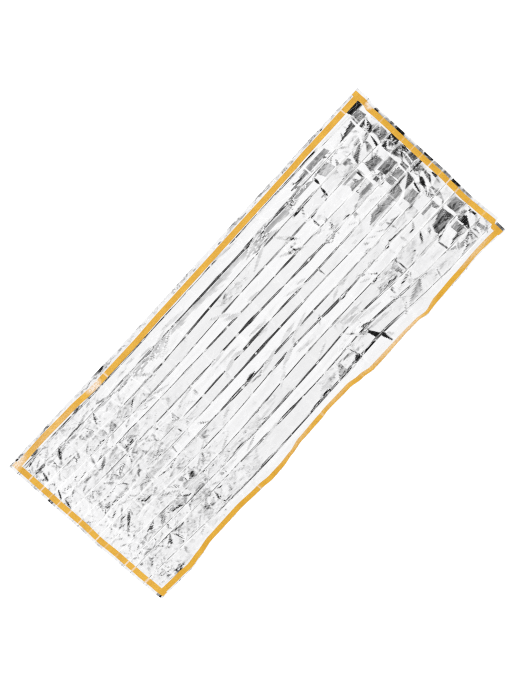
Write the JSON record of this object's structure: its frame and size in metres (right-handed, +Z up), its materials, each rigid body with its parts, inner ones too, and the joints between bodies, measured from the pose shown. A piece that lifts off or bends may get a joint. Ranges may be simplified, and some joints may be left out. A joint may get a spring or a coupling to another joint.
{
  "type": "foil sleeping bag",
  "caption": "Emergency sleeping bag of silver metallised film, laid flat with its packing creases, open at the head, with orange tape along every edge.",
  "frame": {"origin": "centre of the laid bag's outline, on the surface that it lies on", "axes": "+Y along the bag towards its open head, +X across towards the wavy right edge, +Z up"},
  "size_m": [0.854, 2.13, 0.0548],
  "materials": {
    "film": "bright metallised polyester film, creased",
    "tape": "satin orange plastic tape"
  },
  "bodies": {
    "root": {"front_film": "film", "back_film": "film", "tape_left": "tape", "tape_right": "tape", "tape_foot": "tape", "tape_head": "tape"}
  },
  "joints": []
}
